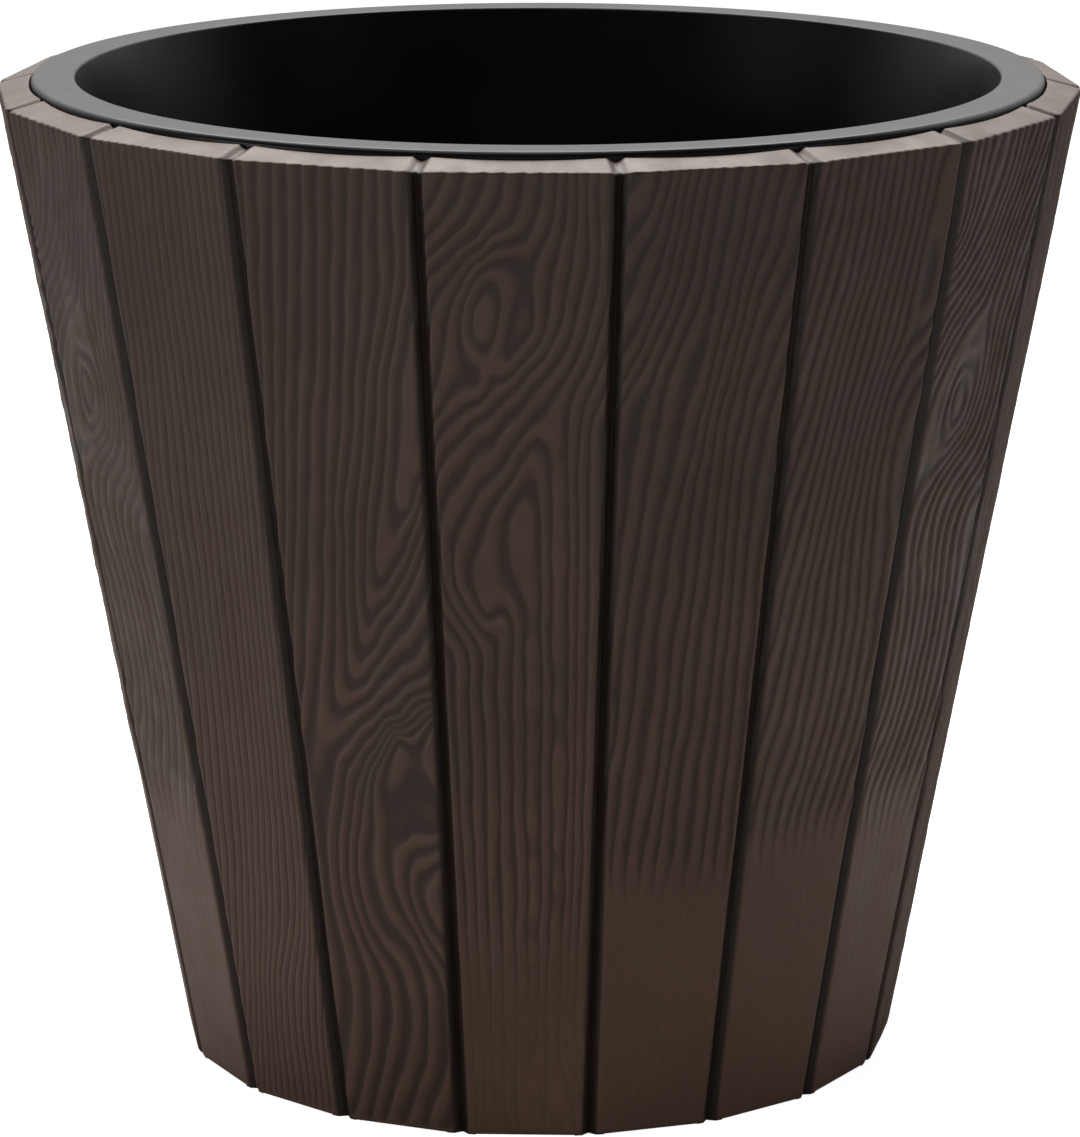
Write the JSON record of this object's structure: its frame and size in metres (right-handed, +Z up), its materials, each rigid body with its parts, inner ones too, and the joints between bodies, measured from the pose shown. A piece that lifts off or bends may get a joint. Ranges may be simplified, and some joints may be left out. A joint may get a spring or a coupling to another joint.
{
  "type": "planter pot with liner",
  "caption": "Round tapered floor planter: a plank-pattern outer pot in wood-effect plastic with a lift-out black liner pot that hangs by its flange.",
  "frame": {"origin": "centre of the base, in the plane the pot stands on", "axes": "+Z up along the pot's axis; the middle of one plank faces -Y and a joint between planks faces +X"},
  "size_m": [0.3986, 0.3936, 0.3677],
  "materials": {
    "wood_effect_plastic": "dark brown moulded plastic with a raised wood grain",
    "liner_plastic": "smooth satin black"
  },
  "bodies": {
    "cover": {"cover_pot": "wood_effect_plastic"},
    "liner": {"liner_pot": "liner_plastic"}
  },
  "joints": [
    {"name": "liner_lift", "type": "slide", "parent": "cover", "child": "liner", "axis": [0, 0, 1], "range_m": [0, 0.345]}
  ]
}
